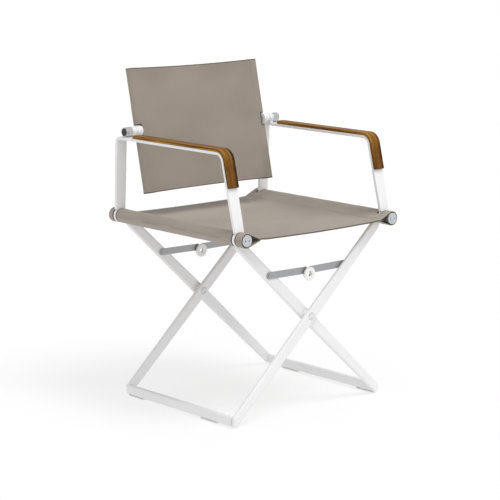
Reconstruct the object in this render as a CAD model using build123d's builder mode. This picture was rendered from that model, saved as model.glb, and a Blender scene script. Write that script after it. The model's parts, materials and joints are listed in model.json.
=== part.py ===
from build123d import *

import os
from math import atan2, cos, degrees, hypot, pi, radians, sin, tan

# Folding director chair: two crossed leg frames, side frames with arms, tilting back, sling seat.
#
# Millimetres, +Z up. The sitter looks along -Y, so "right" is the -X side. The origin is on the
# floor, under the middle of the chair. Two U-shaped foot frames cross at a front and a rear pivot.
# Each carries one seat rail with its arm, and a locking strut joins the legs at each crossing.

os.makedirs("parts", exist_ok=True)

# ---------------------------------------------------------------- driving dimensions
SIDES = (("right", -1), ("left", 1))

RAIL_X = 252.0  # seat rail axis, each side of the middle
RAIL_Z = 484.0
RAIL_R = 15.0
RAIL_BORE_R = 12.5
RAIL_HALF_LENGTH = 267.5
CAP_THICK = 2.5
CAP_BEVEL = 0.6
PLUG_LENGTH = 10.0
SLOT_PLAY = 0.5  # between a leg tongue and each end of its slot in the rail
SLOT_IN = 25.0  # the slot reaches this far inboard of the rail axis,
SLOT_OUT = 21.0  # this far outboard
SLOT_LOW = -25.0  # and from below the axis
SLOT_HIGH = 6.0  # to above it
SHAFT_R = 4.0
RUNNING = 0.05  # radial clearance of every turning fit

PIVOT_Z = 252.0  # where the legs cross
BAR_X = 256.0  # foot bar axis, each side of the middle
LEG_THICK = 12.0
LEG_GAP = 5.0  # between the two legs of a crossing; the strut folds in here
REAR_GAP_Y = 217.0
FRONT_GAP_Y = -217.0
LEG_HALF_MID = 16.0
LEG_HALF_TOP = 13.5
LEG_HALF_FOOT = 12.3
TONGUE_HALF = 9.5
TONGUE_R = 11.8
LEG_EDGE_R = 4.8
FOOT_CORNER_R = 7.0
BUSH_WALL = 2.5
TONGUE_START = 20.0  # the blade narrows to its tongue this far below the rail axis
TONGUE_TAPER = 8.0
FOOT_SPARE = 30.0  # the blade runs on past the foot and is trimmed to the floor line
EDGE_STOP = 25.0  # the blade's edges are rounded up to this far below the rail axis

BAR_WIDE = 14.0
BAR_TALL = 26.0
GLIDE_THICK = 3.3
GLIDE_LENGTH = 68.0
GLIDE_WIDE = 11.0
BAR_ROUNDING = 5.5
GLIDE_BEVEL = 0.8

BARREL_R = 6.0
BOLT_HEAD_R = 9.5
BOLT_HEAD_THICK = 3.0
BOLT_CORE_R = 3.5
BOLT_CORE_DEPTH = 16.0
BOLT_SCREW_LENGTH = 14.0
BOLT_BEVEL = 0.5
SPACER_R = 14.0

STRUT_END_X = 131.5  # rivet in the leg, each side of the middle
RING_Z = 363.0
RING_R = 18.0
RING_HOLE_R = 7.5
RING_NECK_R = 9.5
RING_THICK = 6.4
RING_ROUNDING = 1.6
STRUT_TALL = 18.2
STRUT_THICK = 2.0
STRUT_EYE_R = 14.5
STRUT_RISE = 0.5  # the blade's middle lies this far above the rivet at its end
STRUT_SAG = 1.6  # and this far lower again at the ring
STRUT_LAP = 5.0  # each blade stops this far short of the middle; its eye reaches on
RIVET_R = 3.0
RIVET_HOLE = 8.0  # depth in the leg; the shank ends 1 mm short of its bottom

ARM_WIDE = 34.0
ARM_THICK = 8.0
ARM_EDGE_R = 2.6
ARM_Z = 692.3  # middle of the arm bar
REAR_EYE_Y = 244.0
FRONT_EYE_Y = -237.0
REAR_BEND_Y = 236.0
FRONT_BEND_Y = -189.0
REAR_BEND_R = 14.0
FRONT_BEND_R = 24.0
EYE_R = 18.7
POST_FOOT_Z = 500.2
POST_TAPER_Z = 640.0
POST_FOOT_HALF = 14.0

WOOD_THICK = 7.2
WOOD_START_Y = 176.5
WOOD_FOOT_Z = 609.0

HINGE_Y = 203.0  # backrest tilt axis
HINGE_Z = 709.5
BOSS_R = 13.0
BOSS_IN_X = 233.0
BOSS_OUT_X = 245.0
WASHER_THICK = 1.4
LUG_IN_X = 213.0
KNOB_R = 12.6
KNOB_OUT_X = 266.5

BACK_TILT = 12.67  # degrees from upright
BACK_SET = 8.0  # the back tube's middle lies this far behind the tilt axis
BACK_TUBE_X = 207.0
BACK_TUBE_WIDE = 26.0
BACK_TUBE_THICK = 10.0
BACK_TUBE_WALL = 1.8
BACK_TUBE_LENGTH = 318.0
BACK_CLOTH_LENGTH = 332.0
CLOTH = 2.5

SLEEVE_R = 18.0
APEX_X = 42.0  # seam of the seat sleeve, inboard of the rail axis
APEX_Z = -2.0  # and below it
LEG_NOTCH_OUT = 7.5  # the leg's notch runs from this far outboard of the rail axis
LEG_NOTCH_IN = 62.0  # to this far inboard
EYE_PLAY = 0.9  # between an arm eye and each end of its slit
SEAT_FRONT_Y = -268.0
SEAT_REAR_Y = 268.0

# ---------------------------------------------------------------- worked out from them
LEG_ANGLE = degrees(atan2(RAIL_Z - PIVOT_Z, RAIL_X))
LEG_TOP = hypot(RAIL_X, RAIL_Z - PIVOT_Z)
STRUT_END_Z = PIVOT_Z + STRUT_END_X * tan(radians(LEG_ANGLE))
LAYER = LEG_GAP / 2 + LEG_THICK  # from the middle of the gap to a leg's outer face
FRONT_SHIFT = FRONT_GAP_Y - REAR_GAP_Y
TILT = radians(BACK_TILT)
BACK_ORIGIN = (0, HINGE_Y + BACK_SET * cos(TILT), HINGE_Z - BACK_SET * sin(TILT))
BACK_UP = (0, sin(TILT), cos(TILT))


def facing_front(y):
    """A plane across the chair at this y: its own x is +X, its own y is +Z."""
    return Plane(origin=(0, y, 0), x_dir=(1, 0, 0), z_dir=(0, -1, 0))


def across(x, y, z):
    """A plane square to X, for parts turned about the tilt axis. Its own x is +Y."""
    return Plane(origin=(x, y, z), x_dir=(0, 1, 0), z_dir=(1, 0, 0))


def save(builder, name):
    """Label a finished sub-part and write it."""
    builder.part.label = name
    export_step(builder.part, f"parts/{name}.step")


# ---------------------------------------------------------------- legs
# A leg whose top is on one side has its foot on the other. At both crossings the legs that
# stand on the right foot bar lie in front of the legs that stand on the left one.
def make_leg(name, top, y_near, outer_near, rivet_near):
    """One leg, in the layer that starts at y_near. The near face is the one towards -Y."""
    lean = radians(LEG_ANGLE)
    far_face = facing_front(y_near + LEG_THICK)
    at_rail = (top * RAIL_X, RAIL_Z)
    shoulder = LEG_TOP - TONGUE_START
    foot = -BAR_X / cos(lean) - FOOT_SPARE
    half_widths = (
        (LEG_TOP, TONGUE_HALF),
        (shoulder, TONGUE_HALF),
        (shoulder - TONGUE_TAPER, LEG_HALF_TOP),
        (0, LEG_HALF_MID),
        (foot, LEG_HALF_FOOT),
    )
    outline = [(u, half) for u, half in half_widths]
    outline += [(u, -half) for u, half in reversed(half_widths)]
    corners = [
        (top * (u * cos(lean) - v * sin(lean)), PIVOT_Z + u * sin(lean) + v * cos(lean))
        for u, v in outline
    ]
    with BuildPart() as leg:
        with BuildSketch(far_face) as blade:
            Polygon(*corners, align=None)
            with Locations((0, GLIDE_THICK + RAIL_Z)):
                Rectangle(2 * (BAR_X + BAR_WIDE / 2), 2 * RAIL_Z, mode=Mode.INTERSECT)
            low_corners = blade.vertices().filter_by(lambda v: v.Z < PIVOT_Z / 2)
            fillet(low_corners, FOOT_CORNER_R)
        extrude(amount=LEG_THICK)
        faces = leg.faces().filter_by(Axis.Y)
        edges = faces.edges().filter_by(lambda e: e.center().Z < RAIL_Z - EDGE_STOP)
        fillet(edges, LEG_EDGE_R)
        with BuildSketch(far_face):
            with Locations(at_rail):
                Circle(TONGUE_R)
        extrude(amount=LEG_THICK)
        with BuildSketch(far_face):
            with Locations(at_rail):
                Circle(SHAFT_R + BUSH_WALL)
            with Locations((0, PIVOT_Z)):
                Circle(BARREL_R + RUNNING)
        extrude(amount=LEG_THICK, mode=Mode.SUBTRACT)
        with BuildSketch(facing_front(y_near + (BOLT_HEAD_THICK if outer_near else LEG_THICK))):
            with Locations((0, PIVOT_Z)):
                Circle(BOLT_HEAD_R + RUNNING)
        extrude(amount=BOLT_HEAD_THICK, mode=Mode.SUBTRACT)
        with BuildSketch(facing_front(y_near + (RIVET_HOLE if rivet_near else LEG_THICK))):
            with Locations((top * STRUT_END_X, STRUT_END_Z)):
                Circle(RIVET_R)
        extrude(amount=RIVET_HOLE, mode=Mode.SUBTRACT)
    save(leg, name)


FRONT_LAYER_REAR = REAR_GAP_Y - LAYER
BACK_LAYER_REAR = REAR_GAP_Y + LEG_GAP / 2
make_leg("leg_rear_on_right_foot", 1, FRONT_LAYER_REAR, True, False)
make_leg("leg_rear_on_left_foot", -1, BACK_LAYER_REAR, False, True)
make_leg("leg_front_on_right_foot", 1, FRONT_LAYER_REAR + FRONT_SHIFT, True, False)
make_leg("leg_front_on_left_foot", -1, BACK_LAYER_REAR + FRONT_SHIFT, False, True)


# ---------------------------------------------------------------- foot bars and glides
# The right bar runs between the two front-layer legs, the left bar between the others.
FOOT_BARS = {
    -1: (FRONT_LAYER_REAR + FRONT_SHIFT + LEG_THICK, FRONT_LAYER_REAR),
    1: (BACK_LAYER_REAR + FRONT_SHIFT + LEG_THICK, BACK_LAYER_REAR),
}
GLIDE_Y = {-1: (173.0, -128.0), 1: (128.0, -173.0)}
STUD_R = 2.5
STUD_LENGTH = 6.0

for side, s in SIDES:
    y_from, y_to = FOOT_BARS[s]
    with BuildPart() as foot_bar:
        with BuildSketch(facing_front(y_to)):
            with Locations((s * BAR_X, GLIDE_THICK + BAR_TALL / 2)):
                RectangleRounded(BAR_WIDE, BAR_TALL, BAR_ROUNDING)
        extrude(amount=y_to - y_from)
        with BuildSketch(Plane.XY.offset(GLIDE_THICK)):
            with Locations(*[(s * BAR_X, y) for y in GLIDE_Y[s]]):
                Circle(STUD_R)
        extrude(amount=STUD_LENGTH, mode=Mode.SUBTRACT)
    save(foot_bar, f"foot_bar_{side}")

    with BuildPart() as glides:
        with BuildSketch():
            with Locations(*[(s * BAR_X, y) for y in GLIDE_Y[s]]):
                SlotOverall(GLIDE_LENGTH, GLIDE_WIDE, rotation=90)
        extrude(amount=GLIDE_THICK)
        chamfer(glides.faces().sort_by(Axis.Z)[:2].edges(), GLIDE_BEVEL)
        with BuildSketch(Plane.XY.offset(GLIDE_THICK)):
            with Locations(*[(s * BAR_X, y) for y in GLIDE_Y[s]]):
                Circle(STUD_R)
        extrude(amount=STUD_LENGTH)
    save(glides, f"foot_glides_{side}")


# ---------------------------------------------------------------- crossing pivots
# Each crossing turns on a barrel bolt with a spanner head at both ends and a spacer between.
SPANNER_SPREAD = 4.4
SPANNER_R = 1.5
SPANNER_DEPTH = 2.4
CAP_SPANNER_SPREAD = 6.25
CAP_SPANNER_R = 1.8
CAP_SPANNER_DEPTH = 4.0
SPANNER_TURN = 68.0


for place, gap_y in (("rear", REAR_GAP_Y), ("front", FRONT_GAP_Y)):
    outer_front = gap_y - LAYER
    outer_back = gap_y + LAYER
    with BuildPart() as barrel_bolt:
        with BuildSketch(facing_front(outer_front + BOLT_HEAD_THICK)):
            with Locations((0, PIVOT_Z)):
                Circle(BOLT_HEAD_R)
        extrude(amount=BOLT_HEAD_THICK)
        chamfer(barrel_bolt.faces().sort_by(Axis.Y)[0].edges(), BOLT_BEVEL)
        with BuildSketch(facing_front(outer_back - BOLT_HEAD_THICK)):
            with Locations((0, PIVOT_Z)):
                Circle(BARREL_R)
        extrude(amount=2 * LAYER - 2 * BOLT_HEAD_THICK)
        with BuildSketch(facing_front(outer_back - BOLT_HEAD_THICK)):
            with Locations((0, PIVOT_Z)):
                Circle(BOLT_CORE_R)
        extrude(amount=BOLT_CORE_DEPTH, mode=Mode.SUBTRACT)
        with BuildSketch(facing_front(outer_front + SPANNER_DEPTH)):
            with Locations((0, PIVOT_Z)):
                with PolarLocations(SPANNER_SPREAD, 2, start_angle=-SPANNER_TURN):
                    Circle(SPANNER_R)
        extrude(amount=SPANNER_DEPTH, mode=Mode.SUBTRACT)
    save(barrel_bolt, f"crossing_bolt_{place}")

    with BuildPart() as screw:
        with BuildSketch(facing_front(outer_back)):
            with Locations((0, PIVOT_Z)):
                Circle(BOLT_HEAD_R)
        extrude(amount=BOLT_HEAD_THICK)
        chamfer(screw.faces().sort_by(Axis.Y)[-1].edges(), BOLT_BEVEL)
        with BuildSketch(facing_front(outer_back - BOLT_HEAD_THICK)):
            with Locations((0, PIVOT_Z)):
                Circle(BOLT_CORE_R)
        extrude(amount=BOLT_SCREW_LENGTH)
        with BuildSketch(facing_front(outer_back)):
            with Locations((0, PIVOT_Z)):
                with PolarLocations(SPANNER_SPREAD, 2, start_angle=SPANNER_TURN):
                    Circle(SPANNER_R)
        extrude(amount=SPANNER_DEPTH, mode=Mode.SUBTRACT)
    save(screw, f"crossing_screw_{place}")

    with BuildPart() as spacer:
        with BuildSketch(facing_front(gap_y + LEG_GAP / 2 - RUNNING)):
            with Locations((0, PIVOT_Z)):
                Circle(SPACER_R)
                Circle(BARREL_R, mode=Mode.SUBTRACT)
        extrude(amount=LEG_GAP - 2 * RUNNING)
    save(spacer, f"crossing_spacer_{place}")


# ---------------------------------------------------------------- locking struts
# Half A is riveted to the leg behind the gap, half B to the leg in front of it. The ring is a
# flanged eyelet through half B. Its centre hangs below the line of the rivets, which locks it.
STRUT_PLAY = 0.2  # between a strut half and the leg behind it
STRUT_LAYER_B = -LEG_GAP / 2 + STRUT_PLAY  # from the middle of the gap to half B's near face
STRUT_LAYER_A = LEG_GAP / 2 - STRUT_PLAY - STRUT_THICK
RIVET_HEAD_R = 4.6
RIVET_HEAD_THICK = 1.5
RIVET_HEAD_PLAY = 0.1


def make_strut(name, side, y_near, eye_hole_r):
    """A flat half strut from its rivet to the eye under the ring."""
    end_z = STRUT_END_Z + STRUT_RISE
    middle_z = end_z - STRUT_SAG
    half = STRUT_TALL / 2
    with BuildPart() as strut:
        with BuildSketch(facing_front(y_near + STRUT_THICK)):
            with Locations((side * STRUT_END_X, end_z)):
                Circle(half)
            Polygon(
                (side * STRUT_END_X, end_z + half),
                (side * STRUT_LAP, middle_z + half),
                (side * STRUT_LAP, middle_z - half),
                (side * STRUT_END_X, end_z - half),
                align=None,
            )
            with Locations((0, RING_Z)):
                Circle(STRUT_EYE_R)
                Circle(eye_hole_r, mode=Mode.SUBTRACT)
            with Locations((side * STRUT_END_X, STRUT_END_Z)):
                Circle(RIVET_R + RUNNING, mode=Mode.SUBTRACT)
        extrude(amount=STRUT_THICK)
    save(strut, name)


for place, gap_y in (("rear", REAR_GAP_Y), ("front", FRONT_GAP_Y)):
    make_strut(f"strut_{place}_half_a", -1, gap_y + STRUT_LAYER_A, RING_HOLE_R)
    make_strut(f"strut_{place}_half_b", 1, gap_y + STRUT_LAYER_B, RING_NECK_R)
    with BuildPart() as ring:
        with BuildSketch(facing_front(gap_y + STRUT_LAYER_B)):
            with Locations((0, RING_Z)):
                Circle(RING_R)
        extrude(amount=RING_THICK)
        fillet(ring.edges(), RING_ROUNDING)
        with BuildSketch(facing_front(gap_y + STRUT_LAYER_B + STRUT_THICK)):
            with Locations((0, RING_Z)):
                Circle(RING_NECK_R)
        extrude(amount=STRUT_THICK + 1)
        with BuildSketch(facing_front(gap_y + STRUT_LAYER_B + STRUT_THICK)):
            with Locations((0, RING_Z)):
                Circle(RING_HOLE_R)
        extrude(amount=STRUT_THICK + RING_THICK, mode=Mode.SUBTRACT)
    save(ring, f"strut_ring_{place}")

# The rivets of half A sit in the left-foot legs, those of half B in the right-foot legs.
for foot, side, head_y, shank_y in (
    (
        "left",
        -1,
        STRUT_LAYER_A - RIVET_HEAD_PLAY - RIVET_HEAD_THICK,
        LEG_GAP / 2 + RIVET_HOLE - 1,
    ),
    (
        "right",
        1,
        STRUT_LAYER_B + STRUT_THICK + RIVET_HEAD_PLAY,
        -LEG_GAP / 2 - RIVET_HOLE + 1,
    ),
):
    with BuildPart() as rivets:
        for gap_y in (REAR_GAP_Y, FRONT_GAP_Y):
            with BuildSketch(facing_front(gap_y + head_y + RIVET_HEAD_THICK)):
                with Locations((side * STRUT_END_X, STRUT_END_Z)):
                    Circle(RIVET_HEAD_R)
            extrude(amount=RIVET_HEAD_THICK)
            near, far = sorted((head_y, shank_y))
            with BuildSketch(facing_front(gap_y + far)):
                with Locations((side * STRUT_END_X, STRUT_END_Z)):
                    Circle(RIVET_R)
            extrude(amount=far - near)
    save(rivets, f"strut_rivets_{foot}_foot")


# ---------------------------------------------------------------- seat rails
# The legs end in tongues inside the slotted rail and turn there on a shaft between the caps.
LEG_LAYERS = {
    -1: (BACK_LAYER_REAR, BACK_LAYER_REAR + FRONT_SHIFT),
    1: (FRONT_LAYER_REAR, FRONT_LAYER_REAR + FRONT_SHIFT),
}

for side, s in SIDES:
    at_rail = (s * RAIL_X, RAIL_Z)
    with BuildPart() as rail:
        with BuildSketch(facing_front(RAIL_HALF_LENGTH)):
            with Locations(at_rail):
                Circle(RAIL_R)
                Circle(RAIL_BORE_R, mode=Mode.SUBTRACT)
        extrude(amount=2 * RAIL_HALF_LENGTH)
        for y_near in LEG_LAYERS[s]:
            with BuildSketch(facing_front(y_near + LEG_THICK + SLOT_PLAY)):
                with Locations(at_rail):
                    Polygon(
                        (0, 0),
                        (-s * SLOT_IN, SLOT_HIGH),
                        (-s * SLOT_IN, SLOT_LOW),
                        (s * SLOT_OUT, SLOT_LOW),
                        align=None,
                    )
            extrude(amount=LEG_THICK + 2 * SLOT_PLAY, mode=Mode.SUBTRACT)
    save(rail, f"seat_rail_{side}")

    with BuildPart() as shaft:
        with BuildSketch(facing_front(RAIL_HALF_LENGTH)):
            with Locations(at_rail):
                Circle(SHAFT_R)
        extrude(amount=2 * RAIL_HALF_LENGTH)
    save(shaft, f"rail_shaft_{side}")

    with BuildPart() as bushes:
        for y_near in LEG_LAYERS[s]:
            with BuildSketch(facing_front(y_near + LEG_THICK)):
                with Locations(at_rail):
                    Circle(SHAFT_R + BUSH_WALL)
                    Circle(SHAFT_R + RUNNING, mode=Mode.SUBTRACT)
            extrude(amount=LEG_THICK)
    save(bushes, f"leg_bushes_{side}")

    with BuildPart() as caps:
        for end in (-1, 1):
            face_y = end * (RAIL_HALF_LENGTH + CAP_THICK)
            disc_y = max(face_y, face_y - end * CAP_THICK)
            plug_y = max(end * RAIL_HALF_LENGTH, end * (RAIL_HALF_LENGTH - PLUG_LENGTH))
            with BuildSketch(facing_front(disc_y)):
                with Locations(at_rail):
                    Circle(RAIL_R)
            extrude(amount=CAP_THICK)
            with BuildSketch(facing_front(plug_y)):
                with Locations(at_rail):
                    Circle(RAIL_BORE_R)
                    Circle(SHAFT_R, mode=Mode.SUBTRACT)
            extrude(amount=PLUG_LENGTH)
            with BuildSketch(facing_front(max(face_y, face_y - end * CAP_SPANNER_DEPTH))):
                with Locations(at_rail):
                    with PolarLocations(CAP_SPANNER_SPREAD, 2):
                        Circle(CAP_SPANNER_R)
            extrude(amount=CAP_SPANNER_DEPTH, mode=Mode.SUBTRACT)
        end_faces = caps.faces().filter_by(Axis.Y).group_by(Axis.Y)
        for face in (*end_faces[0], *end_faces[-1]):
            chamfer(face.outer_wire().edges(), CAP_BEVEL)
    save(caps, f"rail_end_caps_{side}")


# ---------------------------------------------------------------- arms
# A flat bar bent to an upside-down U, with an eye at each foot that is welded round the rail.
POST_LEAN = atan2(FRONT_BEND_Y - FRONT_EYE_Y, ARM_Z - POST_FOOT_Z)  # of the front post
FRONT_TURN = pi / 2 - POST_LEAN
WOOD_OFFSET = ARM_THICK / 2 + WOOD_THICK / 2
WOOD_BEND_Y = FRONT_BEND_Y - WOOD_OFFSET * tan(FRONT_TURN / 2)
WOOD_Z = ARM_Z + WOOD_OFFSET
SCREW_YS = (130.0, 10.0, -110.0)
SCREW_HEAD_R = 4.0
SCREW_HEAD_THICK = 2.2
SCREW_R = 2.0
SCREW_BITE = 5.0
FRONT_SCREW_Z = 640.0
TRIM = 20.0  # cutting shapes run this far past what they trim


def screw_planes(x):
    """Where each armrest screw enters: on the bar's under side, looking towards the wood."""
    planes = [
        Plane(origin=(x, y, ARM_Z - ARM_THICK / 2), x_dir=(1, 0, 0), z_dir=(0, 0, 1))
        for y in SCREW_YS
    ]
    front_y = FRONT_BEND_Y - (ARM_Z - FRONT_SCREW_Z) * tan(POST_LEAN)
    outwards = (0, -cos(POST_LEAN), sin(POST_LEAN))
    planes.append(
        Plane(
            origin=(
                x,
                front_y - outwards[1] * ARM_THICK / 2,
                FRONT_SCREW_Z - outwards[2] * ARM_THICK / 2,
            ),
            x_dir=(1, 0, 0),
            z_dir=outwards,
        )
    )
    return planes


for side, s in SIDES:
    x = s * RAIL_X
    with BuildPart() as arm:
        with BuildLine() as arm_path:
            FilletPolyline(
                (x, REAR_EYE_Y, POST_FOOT_Z),
                (x, REAR_BEND_Y, ARM_Z),
                (x, FRONT_BEND_Y, ARM_Z),
                (x, FRONT_EYE_Y, POST_FOOT_Z),
                radius=[REAR_BEND_R, FRONT_BEND_R],
            )
        with BuildSketch(Plane(origin=arm_path.line @ 0, x_dir=(1, 0, 0), z_dir=arm_path.line % 0)):
            RectangleRounded(ARM_WIDE, ARM_THICK, ARM_EDGE_R)
        sweep()
        for edge in (-1, 1):
            with BuildSketch(facing_front(REAR_EYE_Y + TRIM)):
                Polygon(
                    (x + edge * ARM_WIDE / 2, POST_TAPER_Z),
                    (x + edge * POST_FOOT_HALF, POST_FOOT_Z - TRIM),
                    (x + edge * ARM_WIDE, POST_FOOT_Z - TRIM),
                    (x + edge * ARM_WIDE, POST_TAPER_Z),
                    align=None,
                )
            extrude(amount=REAR_EYE_Y - FRONT_EYE_Y + 2 * TRIM, mode=Mode.SUBTRACT)
        for eye_y in (REAR_EYE_Y, FRONT_EYE_Y):
            with BuildSketch(facing_front(eye_y + ARM_THICK / 2)):
                with Locations((x, RAIL_Z)):
                    Circle(EYE_R)
            extrude(amount=ARM_THICK)
            with BuildSketch(facing_front(eye_y + ARM_THICK)):
                with Locations((x, RAIL_Z)):
                    Circle(RAIL_R)
            extrude(amount=2 * ARM_THICK, mode=Mode.SUBTRACT)
        for plane in screw_planes(x):
            with BuildSketch(plane):
                Circle(SCREW_R)
            extrude(amount=ARM_THICK, mode=Mode.SUBTRACT)
    save(arm, f"arm_{side}")

    with BuildPart() as wood:
        foot_drop = WOOD_Z - WOOD_FOOT_Z
        with BuildLine() as wood_path:
            FilletPolyline(
                (x, WOOD_START_Y, WOOD_Z),
                (x, WOOD_BEND_Y, WOOD_Z),
                (x, WOOD_BEND_Y - foot_drop * tan(POST_LEAN), WOOD_FOOT_Z),
                radius=[FRONT_BEND_R + WOOD_OFFSET],
            )
        with BuildSketch(Plane(origin=wood_path.line @ 0, x_dir=(1, 0, 0), z_dir=wood_path.line % 0)):
            Rectangle(ARM_WIDE, WOOD_THICK)
        sweep()
        with BuildSketch(Plane.XY.offset(WOOD_FOOT_Z - TRIM)):
            with Locations((x, (WOOD_START_Y + 2 * FRONT_EYE_Y) / 2)):
                SlotOverall(WOOD_START_Y - 2 * FRONT_EYE_Y, ARM_WIDE, rotation=90)
        extrude(amount=foot_drop + 2 * TRIM, mode=Mode.INTERSECT)
        for plane in screw_planes(x):
            with BuildSketch(plane.offset(ARM_THICK)):
                Circle(SCREW_R)
            extrude(amount=SCREW_BITE, mode=Mode.SUBTRACT)
    save(wood, f"armrest_wood_{side}")

    with BuildPart() as screws:
        for plane in screw_planes(x):
            with BuildSketch(plane.offset(-SCREW_HEAD_THICK)):
                Circle(SCREW_HEAD_R)
            extrude(amount=SCREW_HEAD_THICK)
            with BuildSketch(plane):
                Circle(SCREW_R)
            extrude(amount=ARM_THICK + SCREW_BITE)
    save(screws, f"armrest_screws_{side}")


# ---------------------------------------------------------------- backrest hinges
# A boss on the rear of each arm carries a pin. The back tube's lug turns with the pin, and the
# knurled knob draws lug and boss together to hold the tilt.
def add_disc(x_from, x_to, radius, mode=Mode.ADD):
    """A round about the tilt axis, between two x values."""
    low, high = sorted((x_from, x_to))
    with BuildSketch(across(low, HINGE_Y, HINGE_Z), mode=Mode.PRIVATE) as disc:
        Circle(radius)
    extrude(disc.sketch, amount=high - low, mode=mode)


PIN_R = 4.0
BOSS_PAD = 20.0  # length of the boss's foot along the arm
WASHER_R = 11.5
WASHER_PLAY = 0.1
LUG_ROUNDING = 1.5
PLUG_DEPTH = 12.0
PLUG_THICK = 2.5
LUG_OUT_X = BOSS_IN_X - WASHER_THICK
KNOB_IN_X = BOSS_OUT_X + WASHER_THICK
CAP_RING_R = 10.4
KNOB_WEB = 3.0  # solid metal left behind the knob's face
KNOB_BEVEL = 0.8
PIN_END_GAP = 0.5  # between the pin and the bottom of the knob's bore
FLUTES = 30
FLUTE_R = 0.8
FLUTE_SET = 0.3  # the flutes are centred this far outside the knob
FLUTE_FROM = 3.0  # plain rim left at the inner end,
FLUTE_TO = 2.5  # and at the outer end
FACE_THICK = 1.5
FACE_BEVEL = 0.4
FACE_SCREW_R = 2.4
FACE_SCREW_THICK = 2.0
FACE_SCREW_ROUNDING = 0.7

for side, s in SIDES:
    with BuildPart() as boss:
        add_disc(s * BOSS_IN_X, s * BOSS_OUT_X, BOSS_R)
        pad_low = ARM_Z + ARM_THICK / 2
        pad_in = RAIL_X - ARM_WIDE / 2
        with Locations((s * (pad_in + BOSS_OUT_X) / 2, HINGE_Y, (pad_low + HINGE_Z) / 2)):
            Box(BOSS_OUT_X - pad_in, BOSS_PAD, HINGE_Z - pad_low)
        add_disc(s * BOSS_IN_X, s * BOSS_OUT_X, PIN_R + RUNNING, Mode.SUBTRACT)
    save(boss, f"back_hinge_boss_{side}")

    with BuildPart() as washers:
        add_disc(s * (LUG_OUT_X + WASHER_PLAY), s * BOSS_IN_X, WASHER_R)
        add_disc(s * BOSS_OUT_X, s * (KNOB_IN_X - WASHER_PLAY), WASHER_R)
        add_disc(s * LUG_OUT_X, s * KNOB_IN_X, PIN_R + RUNNING, Mode.SUBTRACT)
    save(washers, f"back_hinge_washers_{side}")

    with BuildPart() as back_tube:
        tube_middle = (s * BACK_TUBE_X, BACK_ORIGIN[1], BACK_ORIGIN[2])
        tube_plane = Plane(origin=tube_middle, x_dir=(1, 0, 0), z_dir=BACK_UP)
        with BuildSketch(tube_plane.offset(-BACK_TUBE_LENGTH / 2)):
            SlotOverall(BACK_TUBE_WIDE, BACK_TUBE_THICK)
        extrude(amount=BACK_TUBE_LENGTH)
        add_disc(s * LUG_IN_X, s * LUG_OUT_X, BOSS_R)
        round_edges = back_tube.edges().filter_by(GeomType.CIRCLE).group_by(Axis.X)
        fillet(round_edges[-1 if s > 0 else 0], LUG_ROUNDING)
        with BuildSketch(tube_plane.offset(-BACK_TUBE_LENGTH / 2)):
            SlotOverall(BACK_TUBE_WIDE - 2 * BACK_TUBE_WALL, BACK_TUBE_THICK - 2 * BACK_TUBE_WALL)
        extrude(amount=BACK_TUBE_LENGTH, mode=Mode.SUBTRACT)
        add_disc(s * LUG_IN_X, s * LUG_OUT_X, PIN_R, Mode.SUBTRACT)
    save(back_tube, f"back_tube_{side}")

    with BuildPart() as plugs:
        for end in (-1, 1):
            inner_end = end * (BACK_TUBE_LENGTH / 2 - PLUG_DEPTH)
            outer_end = end * BACK_TUBE_LENGTH / 2
            with BuildSketch(tube_plane.offset(min(inner_end, outer_end))):
                SlotOverall(
                    BACK_TUBE_WIDE - 2 * BACK_TUBE_WALL, BACK_TUBE_THICK - 2 * BACK_TUBE_WALL
                )
            extrude(amount=PLUG_DEPTH)
            with BuildSketch(tube_plane.offset(min(outer_end, outer_end + end * PLUG_THICK))):
                SlotOverall(BACK_TUBE_WIDE, BACK_TUBE_THICK)
            extrude(amount=PLUG_THICK)
    save(plugs, f"back_tube_plugs_{side}")

    with BuildPart() as pin:
        add_disc(s * LUG_IN_X, s * (KNOB_OUT_X - KNOB_WEB - PIN_END_GAP), PIN_R)
    save(pin, f"back_hinge_pin_{side}")

    with BuildPart() as knob:
        add_disc(s * KNOB_IN_X, s * KNOB_OUT_X, KNOB_R)
        chamfer(knob.edges(), KNOB_BEVEL)
        flute_ends = (s * (KNOB_IN_X + FLUTE_FROM), s * (KNOB_OUT_X - FLUTE_TO))
        with BuildSketch(across(min(flute_ends), HINGE_Y, HINGE_Z)):
            with PolarLocations(KNOB_R + FLUTE_SET, FLUTES):
                Circle(FLUTE_R)
        extrude(amount=max(flute_ends) - min(flute_ends), mode=Mode.SUBTRACT)
        add_disc(s * KNOB_IN_X, s * (KNOB_OUT_X - KNOB_WEB), PIN_R + RUNNING, Mode.SUBTRACT)
    save(knob, f"back_knob_{side}")

    with BuildPart() as knob_face:
        add_disc(s * KNOB_OUT_X, s * (KNOB_OUT_X + FACE_THICK), CAP_RING_R)
        chamfer(knob_face.faces().sort_by(Axis.X)[-1 if s > 0 else 0].edges(), FACE_BEVEL)
        add_disc(s * KNOB_OUT_X, s * (KNOB_OUT_X + FACE_THICK), FACE_SCREW_R, Mode.SUBTRACT)
    save(knob_face, f"back_knob_face_{side}")

    with BuildPart() as knob_screw:
        add_disc(s * KNOB_OUT_X, s * (KNOB_OUT_X + FACE_SCREW_THICK), FACE_SCREW_R)
        domed = knob_screw.faces().sort_by(Axis.X)[-1 if s > 0 else 0].edges()
        fillet(domed, FACE_SCREW_ROUNDING)
    save(knob_screw, f"back_knob_screw_{side}")


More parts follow.
